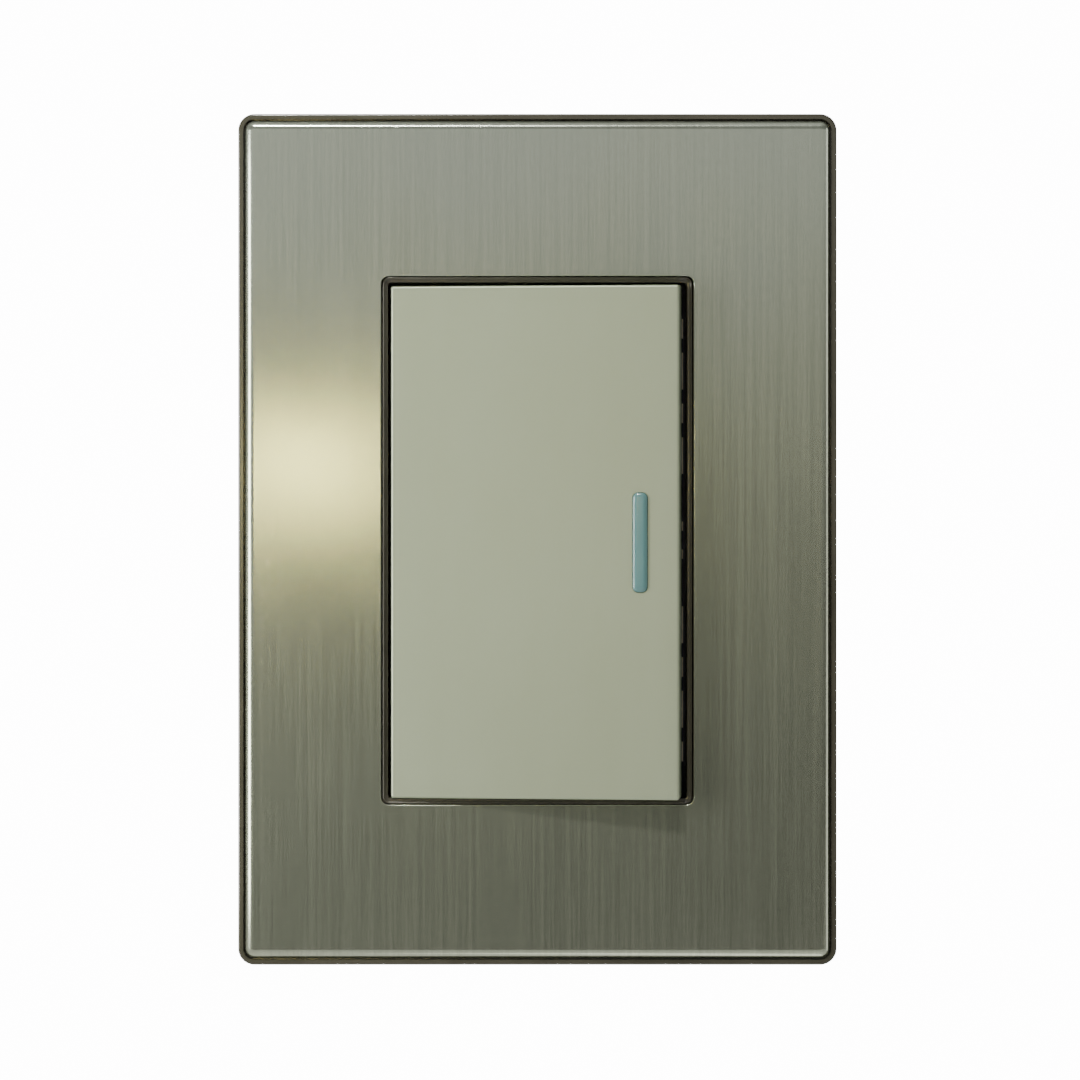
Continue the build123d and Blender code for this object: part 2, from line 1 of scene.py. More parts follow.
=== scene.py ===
import bpy
import bmesh
import json
from math import cos, radians, sin
from mathutils import Matrix, Vector


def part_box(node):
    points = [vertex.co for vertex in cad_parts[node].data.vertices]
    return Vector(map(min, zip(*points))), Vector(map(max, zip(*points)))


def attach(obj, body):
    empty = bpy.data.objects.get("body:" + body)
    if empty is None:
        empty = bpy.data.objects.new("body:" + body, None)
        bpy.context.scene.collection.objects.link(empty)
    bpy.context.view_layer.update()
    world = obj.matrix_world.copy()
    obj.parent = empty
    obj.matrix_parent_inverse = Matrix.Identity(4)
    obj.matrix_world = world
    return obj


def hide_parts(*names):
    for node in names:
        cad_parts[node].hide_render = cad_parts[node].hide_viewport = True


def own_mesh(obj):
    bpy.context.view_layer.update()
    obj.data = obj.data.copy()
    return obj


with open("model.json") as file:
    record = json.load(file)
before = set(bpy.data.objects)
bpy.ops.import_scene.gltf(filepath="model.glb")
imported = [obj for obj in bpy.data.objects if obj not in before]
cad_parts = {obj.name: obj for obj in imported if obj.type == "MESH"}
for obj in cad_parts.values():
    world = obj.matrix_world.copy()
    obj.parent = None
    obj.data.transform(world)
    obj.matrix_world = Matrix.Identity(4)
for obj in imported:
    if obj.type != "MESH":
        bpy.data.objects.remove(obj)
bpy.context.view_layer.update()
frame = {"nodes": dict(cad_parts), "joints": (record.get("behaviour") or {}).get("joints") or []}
mm = 0.001
print("frame loaded,", len(frame["nodes"]), "nodes")


class Wire:
    # a node's output that can be written in sums; each operator adds a Math node
    def __init__(self, finish, socket):
        self.finish = finish
        self.socket = socket

    def maths(self, operation, *values):
        return self.finish.add("Math", {"operation": operation}, dict(enumerate(values)))

    def __add__(self, other):
        return self.maths("ADD", self, other)

    def __radd__(self, other):
        return self.maths("ADD", other, self)

    def __sub__(self, other):
        return self.maths("SUBTRACT", self, other)

    def __rsub__(self, other):
        return self.maths("SUBTRACT", other, self)

    def __mul__(self, other):
        return self.maths("MULTIPLY", self, other)

    def __abs__(self):
        return self.maths("ABSOLUTE", self)


class Finish:
    # one material, its shader and the nodes that vary it; sizes are in mm
    def __init__(self, name):
        self.material = bpy.data.materials.new(name)
        self.material.use_nodes = True
        self.tree = self.material.node_tree
        self.shader = self.tree.nodes["Principled BSDF"]

    def add(self, kind, settings, inputs, output=0):
        node = self.tree.nodes.new("ShaderNode" + kind)
        for key, value in settings.items():
            setattr(node, key, value)
        self.fill(node, inputs)
        return Wire(self, node.outputs[output])

    def fill(self, node, inputs):
        for key, value in inputs.items():
            if isinstance(value, Wire):
                self.tree.links.new(value.socket, node.inputs[key])
            else:
                node.inputs[key].default_value = value

    def place(self, size=(1, 1, 1), turn=(0, 0, 0), start=(0, 0, 0)):
        # object coordinates, where 1 is one grain of that size
        spot = self.add("TexCoord", {}, {}, "Object")
        scale = [1000 / s for s in size]
        angles = [radians(a) for a in turn]
        inputs = {"Vector": spot, "Scale": scale, "Rotation": angles, "Location": start}
        return self.add("Mapping", {"vector_type": "POINT"}, inputs)

    def axis(self, name):
        # distance along x, y or z in mm
        return self.add("SeparateXYZ", {}, {0: self.place()}, name)

    def noise(self, size, detail=2, rough=0.5, turn=(0, 0, 0), start=(0, 0, 0)):
        spot = self.place(size, turn, start)
        inputs = {"Vector": spot, "Scale": 1, "Detail": detail, "Roughness": rough}
        return self.add("TexNoise", {}, inputs)

    def cells(self, size, feature="F1", output="Distance"):
        inputs = {"Vector": self.place(size), "Scale": 1}
        return self.add("TexVoronoi", {"feature": feature}, inputs, output)

    def step(self, value, low, high):
        # 0 below low, 1 above high, smooth between
        inputs = {0: value, 1: low, 2: high}
        return self.add("MapRange", {"interpolation_type": "SMOOTHSTEP"}, inputs)

    def mix(self, factor, first, second):
        colors = [c if isinstance(c, Wire) else (*c, 1) for c in (first, second)]
        inputs = {0: factor, 6: colors[0], 7: colors[1]}
        return self.add("Mix", {"data_type": "RGBA"}, inputs, 2)

    def bump(self, height, depth):
        # height of 1 stands for depth in mm
        return self.add("Bump", {}, {"Height": height, "Distance": depth * mm, "Strength": 1})

    def shade(self, **inputs):
        self.fill(self.shader, {key.replace("_", " "): value for key, value in inputs.items()})


def mouldedPlastic(name, look):
    # fine spark-eroded grain, slow clouds and flow marks from the gate
    plastic = Finish(name)
    cloud = plastic.noise([look["cloud"]] * 3, detail=3)
    grain = plastic.noise([look["grain"]] * 3, detail=2, start=(3, 7, 1))
    flow = plastic.noise([look["cloud"] * k for k in (0.4, 0.4, 2)], detail=2, start=(9, 2, 5))
    specks = plastic.step(plastic.cells([look["grain"] * 9] * 3), 0.12, 0.05)
    vary = plastic.step(cloud * 0.6 + flow * 0.4, 0.35, 0.65)
    tint = plastic.mix(vary, look["color"], look["shade"])
    tint = plastic.mix(specks * look["specks"], tint, look["speckColor"])
    plastic.shade(
        Base_Color=tint,
        Roughness=look["roughness"] + (cloud - 0.5) * 0.18 + (grain - 0.5) * 0.12,
        Normal=plastic.bump(grain * 0.8 + flow * 0.4, look["depth"]),
        IOR=1.49,
        Specular_IOR_Level=look["specular"],
        Coat_Roughness=0.12,
        Coat_Weight=look["coat"],
    )
    return plastic.material


plastics = {
    "frame_bronze": {
        "color": (0.052, 0.05, 0.035), "shade": (0.07, 0.067, 0.048),
        "speckColor": (0.12, 0.12, 0.09), "specks": 0.12, "grain": 0.3, "cloud": 14,
        "depth": 0.003, "roughness": 0.22, "specular": 0.6, "coat": 0.3,
    },
    "trim_dark": {
        "color": (0.04, 0.037, 0.026), "shade": (0.056, 0.052, 0.038),
        "speckColor": (0.11, 0.1, 0.08), "specks": 0.12, "grain": 0.25, "cloud": 10,
        "depth": 0.003, "roughness": 0.2, "specular": 0.65, "coat": 0.3,
    },
    "carrier_cream": {
        "color": (0.6, 0.58, 0.48), "shade": (0.68, 0.66, 0.56),
        "speckColor": (0.42, 0.4, 0.32), "specks": 0.15, "grain": 0.25, "cloud": 12,
        "depth": 0.008, "roughness": 0.48, "specular": 0.5, "coat": 0.0,
    },
    "plunger_plastic": {
        "color": (0.7, 0.69, 0.64), "shade": (0.78, 0.77, 0.72),
        "speckColor": (0.5, 0.49, 0.45), "specks": 0.1, "grain": 0.12, "cloud": 5,
        "depth": 0.004, "roughness": 0.38, "specular": 0.5, "coat": 0.0,
    },
    "module_grey": {
        "color": (0.23, 0.235, 0.235), "shade": (0.29, 0.295, 0.29),
        "speckColor": (0.42, 0.42, 0.41), "specks": 0.25, "grain": 0.3, "cloud": 16,
        "depth": 0.012, "roughness": 0.52, "specular": 0.5, "coat": 0.0,
    },
    "module_white": {
        "color": (0.66, 0.65, 0.6), "shade": (0.74, 0.73, 0.68),
        "speckColor": (0.45, 0.43, 0.38), "specks": 0.2, "grain": 0.3, "cloud": 18,
        "depth": 0.012, "roughness": 0.46, "specular": 0.5, "coat": 0.0,
    },
}


def rolledMetal(name, look):
    # drawn or rolled streaks along one axis, tarnish in clouds, small pits
    metal = Finish(name)
    streak = metal.noise(look["streak"], detail=4, rough=0.6)
    cloud = metal.noise([look["cloud"]] * 3, detail=4, rough=0.6, start=(4, 1, 8))
    pits = metal.step(metal.cells([look["pit"]] * 3), 0.16, 0.06)
    tarnish = metal.step(cloud, 0.48, 0.72) * look["tarnish"]
    tint = metal.mix(streak, look["color"], look["shade"])
    tint = metal.mix(tarnish, tint, look["tarnishColor"])
    metal.shade(
        Base_Color=tint,
        Metallic=1 - tarnish * 0.3,
        Roughness=look["roughness"] + (streak - 0.5) * 0.2 + tarnish * 0.25 + pits * 0.1,
        Normal=metal.bump(streak * 0.7 + cloud * 0.3 - pits * 0.5, look["depth"]),
    )
    return metal.material


metals = {
    "spring_steel": {
        "color": (0.5, 0.5, 0.49), "shade": (0.62, 0.62, 0.6),
        "tarnishColor": (0.3, 0.27, 0.22), "tarnish": 0.3,
        "streak": (0.5, 0.5, 0.5), "cloud": 3, "pit": 0.5, "depth": 0.004, "roughness": 0.28,
    },
    "screw_zinc": {
        "color": (0.6, 0.61, 0.62), "shade": (0.72, 0.71, 0.67),
        "tarnishColor": (0.5, 0.45, 0.33), "tarnish": 0.4,
        "streak": (0.8, 0.15, 0.8), "cloud": 2.5, "pit": 0.6, "depth": 0.006, "roughness": 0.32,
    },
    "contact_brass": {
        "color": (0.72, 0.53, 0.24), "shade": (0.8, 0.62, 0.32),
        "tarnishColor": (0.4, 0.24, 0.1), "tarnish": 0.45,
        "streak": (0.15, 2, 6), "cloud": 4, "pit": 0.8, "depth": 0.004, "roughness": 0.3,
    },
    "contact_silver": {
        "color": (0.74, 0.73, 0.7), "shade": (0.83, 0.82, 0.8),
        "tarnishColor": (0.45, 0.38, 0.28), "tarnish": 0.35,
        "streak": (0.3, 0.3, 0.3), "cloud": 1.2, "pit": 0.4, "depth": 0.004, "roughness": 0.3,
    },
    "lead_wire": {
        "color": (0.66, 0.65, 0.62), "shade": (0.75, 0.74, 0.71),
        "tarnishColor": (0.45, 0.42, 0.37), "tarnish": 0.4,
        "streak": (0.1, 0.1, 1.5), "cloud": 1.5, "pit": 0.3, "depth": 0.003, "roughness": 0.35,
    },
}


spangle = {
    "color": (0.42, 0.44, 0.45), "shade": (0.62, 0.64, 0.65), "pale": (0.7, 0.7, 0.68),
    "crystal": 3.2, "depth": 0.008, "roughness": 0.34,
}


def galvanisedSteel(name):
    # zinc spangle in flat crystals, each a little turned
    zinc = Finish(name)
    size = [spangle["crystal"]] * 3
    crystal = zinc.add("SeparateColor", {}, {0: zinc.cells(size, output="Color")}, 0)
    seams = zinc.cells(size, feature="DISTANCE_TO_EDGE")
    frost = zinc.noise((0.25, 0.25, 0.25), detail=3)
    cloud = zinc.noise((15, 15, 15), detail=3, start=(2, 6, 3))
    tint = zinc.mix(crystal * 0.7 + cloud * 0.3, spangle["color"], spangle["shade"])
    tint = zinc.mix(zinc.step(cloud, 0.55, 0.75) * 0.35, tint, spangle["pale"])
    relief = zinc.step(seams, 0, 0.06) * 0.5 + frost * 0.4 + crystal * 0.3
    zinc.shade(
        Base_Color=tint,
        Metallic=0.92,
        Roughness=spangle["roughness"] + crystal * 0.16 + (frost - 0.5) * 0.15,
        Normal=zinc.bump(relief, spangle["depth"]),
    )
    return zinc.material


brushed = {
    "color": (0.42, 0.455, 0.36), "shade": (0.57, 0.605, 0.48),
    # painted reflection: the steel turns bluer and lighter towards the top, standing in for the
    # room above reflected in it
    "paintedReflectionTint": (0.48, 0.54, 0.51), "paintedReflectionFrom": 5, "paintedReflectionTo": 45,    # bluer towards the top
    "scratch": (0.7, 0.7, 0.66),
    "roughness": 0.185, "metallic": 0.84, "grainDepth": 0.0007, "acrossGrain": 0.55,
}


def brushedSteel(name):
    # upright brushing: hair-fine lines, longer streaks, slow clouds and a few handling marks, with
    # a painted reflection that makes the top bluer and lighter
    steel = Finish(name)
    hair = steel.noise((0.09, 1, 9), detail=3, rough=0.65)
    streak = steel.noise((0.5, 4, 50), detail=4, rough=0.66, start=(5, 0, 2))
    grit = steel.noise((0.28, 1, 1.1), detail=2, rough=0.7, start=(4, 1, 3))
    cloud = steel.noise((22, 22, 30), detail=3, start=(1, 3, 7))
    # painted reflection: a mask that rises towards the top, broken by clouds
    height = steel.axis("Z") * 0.7 + (cloud - 0.5) * 50
    paintedReflection = steel.step(height, brushed["paintedReflectionFrom"], brushed["paintedReflectionTo"])
    marks = steel.noise((0.8, 5, 14), detail=1, turn=(0, 9, 0), start=(8, 1, 4))
    rare = steel.step(steel.noise((9, 9, 14), detail=1, start=(6, 2, 9)), 0.62, 0.7)
    scratch = steel.step(abs(marks - 0.57), 0.006, 0.0) * rare
    crossMarks = steel.noise((2, 5, 9), detail=1, turn=(0, 62, 0), start=(3, 5, 1))
    scuff = steel.step(abs(crossMarks - 0.6), 0.004, 0.0) * steel.step(cloud, 0.56, 0.62)
    grain = steel.step(hair * 0.3 + streak * 0.4 + grit * 0.3, 0.34, 0.66)
    tint = steel.mix(grain, brushed["color"], brushed["shade"])
    # painted reflection mixed into the base colour, bluer and lighter at the top
    tint = steel.mix(paintedReflection * 0.4, tint, brushed["paintedReflectionTint"])
    tint = steel.mix((scratch + scuff) * 0.35, tint, brushed["scratch"])
    rough = brushed["roughness"] + (streak - 0.5) * 0.06 + (hair - 0.5) * 0.08
    lines = hair * 0.7 + streak * 0.5
    steel.shade(
        Base_Color=tint,
        Metallic=brushed["metallic"],
        Roughness=rough + (cloud - 0.5) * 0.06,
        Normal=steel.bump(lines - (scratch + scuff) * 1.5, brushed["grainDepth"]),
        Anisotropic=brushed["acrossGrain"],
    )
    return steel.material


satin = {
    "color": (0.372, 0.427, 0.302), "shade": (0.422, 0.478, 0.346), "flake": (0.57, 0.62, 0.51),
    "roughness": 0.4, "metallic": 0.35, "depth": 0.0035,
}


def satinPaint(name):
    # champagne metallic lacquer: fine flakes, faint orange peel, faint wipe marks
    paint = Finish(name)
    flake = paint.cells((0.11, 0.11, 0.11))
    peel = paint.noise((0.9, 0.9, 0.9), detail=2)
    fine = paint.noise((0.16, 0.16, 0.16), detail=2, start=(2, 2, 6))
    cloud = paint.noise((20, 20, 26), detail=3, start=(7, 4, 2))
    wipe = paint.noise((2.5, 5, 26), detail=3, turn=(0, 14, 0), start=(1, 9, 3))
    tint = paint.mix(cloud * 0.6 + wipe * 0.4, satin["color"], satin["shade"])
    tint = paint.mix(paint.step(flake, 0.22, 0.1) * 0.3, tint, satin["flake"])
    rough = satin["roughness"] + (cloud - 0.5) * 0.12 + (fine - 0.5) * 0.16
    paint.shade(
        Base_Color=tint,
        Metallic=satin["metallic"],
        Roughness=rough + (wipe - 0.5) * 0.1,
        Normal=paint.bump(peel * 0.5 + fine * 0.5, satin["depth"]),
        Coat_Weight=0.12,
        Coat_Roughness=0.3,
    )
    return paint.material


teal = {
    "color": (0.095, 0.225, 0.24), "shade": (0.12, 0.275, 0.285),
    # crown colour is a painted highlight: paler teal towards the lens's proud front, standing in
    # for light on its rounding
    "crown": (0.2, 0.4, 0.41), "paintedHighlightFrom": -10.6, "paintedHighlightTo": -11.9,
    "roughness": 0.16, "depth": 0.006,
}


def tealLens(name):
    # clear teal moulding; its paler crown is a painted highlight on the rounded front
    lens = Finish(name)
    cloud = lens.noise((3, 3, 5), detail=2)
    bubble = lens.step(lens.cells((0.7, 0.7, 0.7)), 0.14, 0.05)
    # painted highlight: the crown mask and the paler crown colour mixed in below stand in for
    # light on the lens's rounded front
    crown = lens.step(lens.axis("Y"), teal["paintedHighlightFrom"], teal["paintedHighlightTo"])
    tint = lens.mix(cloud, teal["color"], teal["shade"])
    tint = lens.mix(crown * 0.5, tint, teal["crown"])
    lens.shade(
        Base_Color=tint,
        Roughness=teal["roughness"] + (cloud - 0.5) * 0.1 + bubble * 0.1,
        Normal=lens.bump(cloud + bubble * 0.2, teal["depth"]),
        Transmission_Weight=0.25,
        IOR=1.5,
        Coat_Weight=0.4,
        Coat_Roughness=0.06,
    )
    return lens.material


laminate = {
    "color": (0.2, 0.105, 0.045), "shade": (0.36, 0.2, 0.09), "stain": (0.14, 0.07, 0.03),
    "roughness": 0.45, "depth": 0.008,
}


def phenolicBoard(name):
    # brown paper laminate with crossed fibres and darker stains
    board = Finish(name)
    fibre = board.noise((1.4, 0.3, 0.18), detail=4, rough=0.7)
    weave = board.noise((0.2, 0.3, 1.6), detail=4, rough=0.7, start=(5, 3, 1))
    cloud = board.noise((6, 6, 6), detail=2)
    tint = board.mix(fibre * 0.5 + weave * 0.5, laminate["color"], laminate["shade"])
    tint = board.mix(board.step(cloud, 0.5, 0.75) * 0.4, tint, laminate["stain"])
    board.shade(
        Base_Color=tint,
        Roughness=laminate["roughness"] + (fibre - 0.5) * 0.25,
        Normal=board.bump(fibre * 0.5 + weave * 0.5, laminate["depth"]),
    )
    return board.material


lamp = {
    "glass": (0.95, 0.8, 0.72), "electrode": (0.42, 0.4, 0.38), "soot": (0.35, 0.28, 0.24),
    "place": 14.67,        # across the switch
    "roughness": 0.06, "depth": 0.02,
}


def lampGlass(name):
    # small neon lamp: clear glass, silvered by its electrodes inside
    glass = Finish(name)
    z = glass.axis("Z")
    ripple = glass.noise((1.2, 1.2, 2.5), detail=1)
    aside = abs(glass.axis("X") - lamp["place"])
    electrode = glass.step(aside, 0.75, 0.4) * glass.step(abs(z), 3.4, 2.9)
    soot = glass.step(abs(z), 3.2, 4.8)
    tint = glass.mix(electrode, lamp["glass"], lamp["electrode"])
    tint = glass.mix(soot * 0.5, tint, lamp["soot"])
    glass.shade(
        Base_Color=tint,
        Roughness=lamp["roughness"] + electrode * 0.2 + ripple * 0.06,
        Normal=glass.bump(ripple, lamp["depth"]),
        Transmission_Weight=0.6,
        IOR=1.48,
    )
    return glass.material


resistor = {
    "body": (0.62, 0.45, 0.27), "roughness": 0.28, "depth": 0.015,
    "middle": 8.4, "pitch": 0.62, "band": 0.17, "blur": 0.03,    # band is half its width
    "bands": [(0.35, 0.12, 0.05), (0.02, 0.02, 0.02), (0.75, 0.6, 0.05), (0.55, 0.4, 0.12)],
}


def resistorBody(name):
    # lacquered body with four plain bands
    body = Finish(name)
    z = body.axis("Z") - resistor["middle"]
    cloud = body.noise((0.8, 0.8, 0.8), detail=3)
    tint = body.mix(cloud, resistor["body"], [c * 0.85 for c in resistor["body"]])
    for n, color in enumerate(resistor["bands"]):
        away = abs(z - (n - 1.5) * resistor["pitch"])
        band = body.step(away, resistor["band"] + resistor["blur"], resistor["band"])
        tint = body.mix(band, tint, color)
    body.shade(
        Base_Color=tint,
        Roughness=resistor["roughness"] + (cloud - 0.5) * 0.2,
        Normal=body.bump(cloud, resistor["depth"]),
        Coat_Weight=0.3,
    )
    return body.material


others = {
    "bridge_steel": galvanisedSteel,
    "plate_steel": brushedSteel,
    "rocker_satin": satinPaint,
    "lens_teal": tealLens,
    "board_brown": phenolicBoard,
    "lamp_glass": lampGlass,
    "resistor_body": resistorBody,
}
finishes = {name: mouldedPlastic(name, look) for name, look in plastics.items()}
finishes.update({name: rolledMetal(name, look) for name, look in metals.items()})
finishes.update({name: make(name) for name, make in others.items()})
print("finishes made:", len(finishes))

# each slot of a CAD piece names its finish
for node in frame["nodes"].values():
    for place in node.material_slots:
        place.material = finishes[place.material.name.split(".")[0]]


def roundOff(bm, parts, radius, steps, kind="EDGES"):
    # rounds edges or corners of a loop by a radius in mm
    bmesh.ops.bevel(
        bm, geom=parts, offset=radius * mm, segments=steps,
        profile=0.5, affect=kind, material=-1,
    )


def addLoop(bm, width, height, corner, y, x=0.0, z=0.0):
    # one rounded rectangle of edges facing the room, sizes in mm
    verts = bmesh.ops.create_grid(bm, x_segments=1, y_segments=1, size=0.5)["verts"]
    bmesh.ops.scale(bm, vec=(width * mm, height * mm, 1), verts=verts)
    bmesh.ops.rotate(bm, cent=(0, 0, 0), matrix=Matrix.Rotation(radians(90), 3, "X"), verts=verts)
    bmesh.ops.translate(bm, vec=(x * mm, y * mm, z * mm), verts=verts)
    roundOff(bm, verts, corner, 8, "VERTICES")
    bmesh.ops.delete(bm, geom=bm.faces[:], context="FACES_ONLY")
    return bm.edges[:]


def cornerMiddle(place, width, height, corner, y, x=0.0, z=0.0):
    # middle of the corner arc that a point of a loop lies on
    side = 1 if place.x > x * mm else -1
    up = 1 if place.z > z * mm else -1
    across = x + side * (width / 2 - corner)
    rise = z + up * (height / 2 - corner)
    return Vector((across * mm, y * mm, rise * mm))


def shiftOf(loop):
    # a loop's place across and up, where it has one
    across, up = (*loop[4:], 0, 0)[:2]
    return Vector((across, 0, up)) * mm


def growLoop(bm, edges, old, new):
    # extrudes a loop into the next one, each corner arc onto its own corner
    made = bmesh.ops.extrude_edge_only(bm, edges=edges)["geom"]
    verts = [g for g in made if isinstance(g, bmesh.types.BMVert)]
    grown = [g for g in made if isinstance(g, bmesh.types.BMEdge)]
    along = [e for e in grown if all(v in verts for v in e.verts)]
    for vert in verts:
        middle = cornerMiddle(vert.co, *old)
        away = (vert.co - middle) * (new[2] / old[2])
        vert.co = cornerMiddle(vert.co - shiftOf(old) + shiftOf(new), *new) + away
    return along


def addRingBody(bm, rings):
    # a closed ring of wall, one loop after another and the last back onto the first
    shapes = [ring["loop"] for ring in rings]
    loops = [addLoop(bm, *shapes[0])]
    for old, new in zip(shapes, shapes[1:] + shapes[:1]):
        loops.append(growLoop(bm, loops[-1], old, new))
    bmesh.ops.remove_doubles(bm, verts=bm.verts, dist=0.001 * mm)
    bmesh.ops.recalc_face_normals(bm, faces=bm.faces)
    for edges, ring in zip(loops, rings):
        if "round" in ring:
            roundOff(bm, edges, ring["round"], ring.get("steps", 4))


def addSolidBody(bm, shapes):
    # a solid from its back loop to its front loop, with both ends filled
    loops = [addLoop(bm, *shapes[0])]
    for old, new in zip(shapes, shapes[1:]):
        loops.append(growLoop(bm, loops[-1], old, new))
    for edges in (loops[0], loops[-1]):
        bmesh.ops.contextual_create(bm, geom=edges)
    bmesh.ops.recalc_face_normals(bm, faces=bm.faces)


def finishPiece(bm, name, body, slot, node):
    # a smooth-shaded object on its body, in place of a CAD node
    bmesh.ops.recalc_face_normals(bm, faces=bm.faces)
    mesh = bpy.data.meshes.new(name)
    bm.to_mesh(mesh)
    bm.free()
    mesh.shade_smooth()
    mesh.materials.append(finishes[slot])
    piece = bpy.data.objects.new(name, mesh)
    bpy.context.collection.objects.link(piece)
    even = piece.modifiers.new("evenNormals", "WEIGHTED_NORMAL")
    even.weight = 80
    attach(piece, body)
    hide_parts(node)


def boxOf(node):
    # middle, size and the near and far depth of a node, in mm
    low, high = [[v / mm for v in corner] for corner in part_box(node)]
    middle = [(a + b) / 2 for a, b in zip(low, high)]
    size = [b - a for a, b in zip(low, high)]
    return middle, size, low[1], high[1]


steelSheet = {
    "thickness": 0.6,
    "corner": 1.4,
    "bend": 1.35,          # outside radius of the turned edge
    "windowWidth": 43.3,
    "windowHeight": 73.2,
    "windowCorner": 1.1,
    "windowRound": 0.1,
    "windowDrop": 0.14,    # the opening and its ring sit this much low
}


def makeSteelSheet():
    _, (width, _, height), front, back = boxOf("front_plate")
    wall = steelSheet["thickness"]
    corner = steelSheet["corner"]
    window = (steelSheet["windowWidth"], steelSheet["windowHeight"], steelSheet["windowCorner"])
    drop = -steelSheet["windowDrop"]
    inside = (width - 2 * wall, height - 2 * wall, corner - wall)
    bm = bmesh.new()
    addRingBody(bm, [
        {"loop": (width, height, corner, back)},
        {"loop": (width, height, corner, front), "round": steelSheet["bend"], "steps": 10},
        {"loop": (*window, front, 0, drop), "round": steelSheet["windowRound"]},
        {"loop": (*window, front + wall, 0, drop)},
        {"loop": (*inside, front + wall), "round": steelSheet["bend"] - wall},
        {"loop": (*inside, back)},
    ])
    finishPiece(bm, "steelSheet", "base", "plate_steel", "front_plate")


trimRing = {
    "width": 0.7,
    "ridge": 0.2,
    "slope": 0.04,         # ridge's inner side leans this much
    "step": 0.24,          # ridge stands this far in front of the inner band
    "flange": 2.32,
    "flangeDepth": 1.0,
    "outerCorner": 0.92,
    "innerCorner": 0.5,
    "flangeRound": 0.15,
    "edgeRound": 0.1,
    "ridgeRound": 0.08,
    "bandRound": 0.2,
}


def makeTrimRing():
    _, (flangeWidth, _, flangeHeight), front, back = boxOf("window_trim")
    width = flangeWidth - 2 * trimRing["flange"]
    height = flangeHeight - 2 * trimRing["flange"]
    corner = trimRing["outerCorner"]
    shoulder = back - trimRing["flangeDepth"]
    band = front + trimRing["step"]
    ridge = trimRing["ridge"]
    slope = ridge + trimRing["slope"]
    inner = trimRing["width"]
    ridgeTop = (width - 2 * ridge, height - 2 * ridge, corner - ridge)
    ridgeFoot = (width - 2 * slope, height - 2 * slope, corner - slope)
    opening = (width - 2 * inner, height - 2 * inner, trimRing["innerCorner"])
    bm = bmesh.new()
    addRingBody(bm, [
        {"loop": (flangeWidth, flangeHeight, corner, back)},
        {"loop": (flangeWidth, flangeHeight, corner, shoulder), "round": trimRing["flangeRound"]},
        {"loop": (width, height, corner, shoulder)},
        {"loop": (width, height, corner, front), "round": trimRing["edgeRound"]},
        {"loop": (*ridgeTop, front), "round": trimRing["ridgeRound"]},
        {"loop": (*ridgeFoot, band)},
        {"loop": (*opening, band), "round": trimRing["bandRound"]},
        {"loop": (*opening, back)},
    ])
    bmesh.ops.translate(bm, vec=(0, 0, -steelSheet["windowDrop"] * mm), verts=bm.verts)
    finishPiece(bm, "trimRing", "base", "trim_dark", "window_trim")


rockerCap = {
    "face": (39.8, 70.81, 0.3),
    "faceShift": (0.1, 0),
    "foot": (40.36, 71.21, 0.3),
    "footShift": (0.05, 0.1),
    "drop": 0.27,          # sits this much below the CAD piece
    "pivotDepth": 6.5,     # face to pivot
    "wall": 1.4,
    "wallRound": 0.2,
    "skirt": 5.0,
    "edge": 0.3,
    "slot": (2.14, 13.8, 0.86),
    "slotRound": 0.06,
    "slotPlace": 14.67,
}

rockerJoint = next(j for j in frame["joints"] if j["name"] == "rocker_tilt")
pivot = rockerJoint["pos_m"][1] / mm
face = pivot - rockerCap["pivotDepth"]


def tiltToRest(bm):
    # pieces of the rocker are made level, then turned about its pivot as it rests
    rest = radians(-sum(rockerJoint["range_deg"]) / 2)
    low = boxOf("rocker_cap")[0][2] - rockerCap["drop"]
    turn = Matrix.Rotation(rest, 3, "Z")
    bmesh.ops.rotate(bm, cent=(0, pivot * mm, 0), matrix=turn, verts=bm.verts)
    bmesh.ops.translate(bm, vec=(0, 0, low * mm), verts=bm.verts)


def makeRockerCap():
    wall = rockerCap["wall"]
    slot = (*rockerCap["slot"], face, rockerCap["slotPlace"])
    slotBack = (*rockerCap["slot"], face + wall, rockerCap["slotPlace"])
    width, height, corner = rockerCap["face"]
    inside = (width - 2 * wall, height - 2 * wall, corner)
    foot = face + rockerCap["skirt"]
    bm = bmesh.new()
    addRingBody(bm, [
        {"loop": (*rockerCap["foot"], foot, *rockerCap["footShift"])},
        {"loop": (*rockerCap["face"], face, *rockerCap["faceShift"]), "round": rockerCap["edge"]},
        {"loop": slot, "round": rockerCap["slotRound"], "steps": 2},
        {"loop": slotBack},
        {"loop": (*inside, face + wall), "round": rockerCap["wallRound"]},
        {"loop": (*inside, foot)},
    ])
    tiltToRest(bm)
    finishPiece(bm, "rockerCap", "rocker", "rocker_satin", "rocker_cap")


lensBar = {
    "size": (2.06, 13.72, 0.8),
    "proud": 0.4,
    "crown": 0.72,         # how far the rounding reaches in from the edge
    "crownSteps": 8,
    "flange": 0.9,
    "flangeDepth": 0.8,
    "foot": 0.2,           # foot is narrower by this on every side
    "footDepth": 7.2,
}


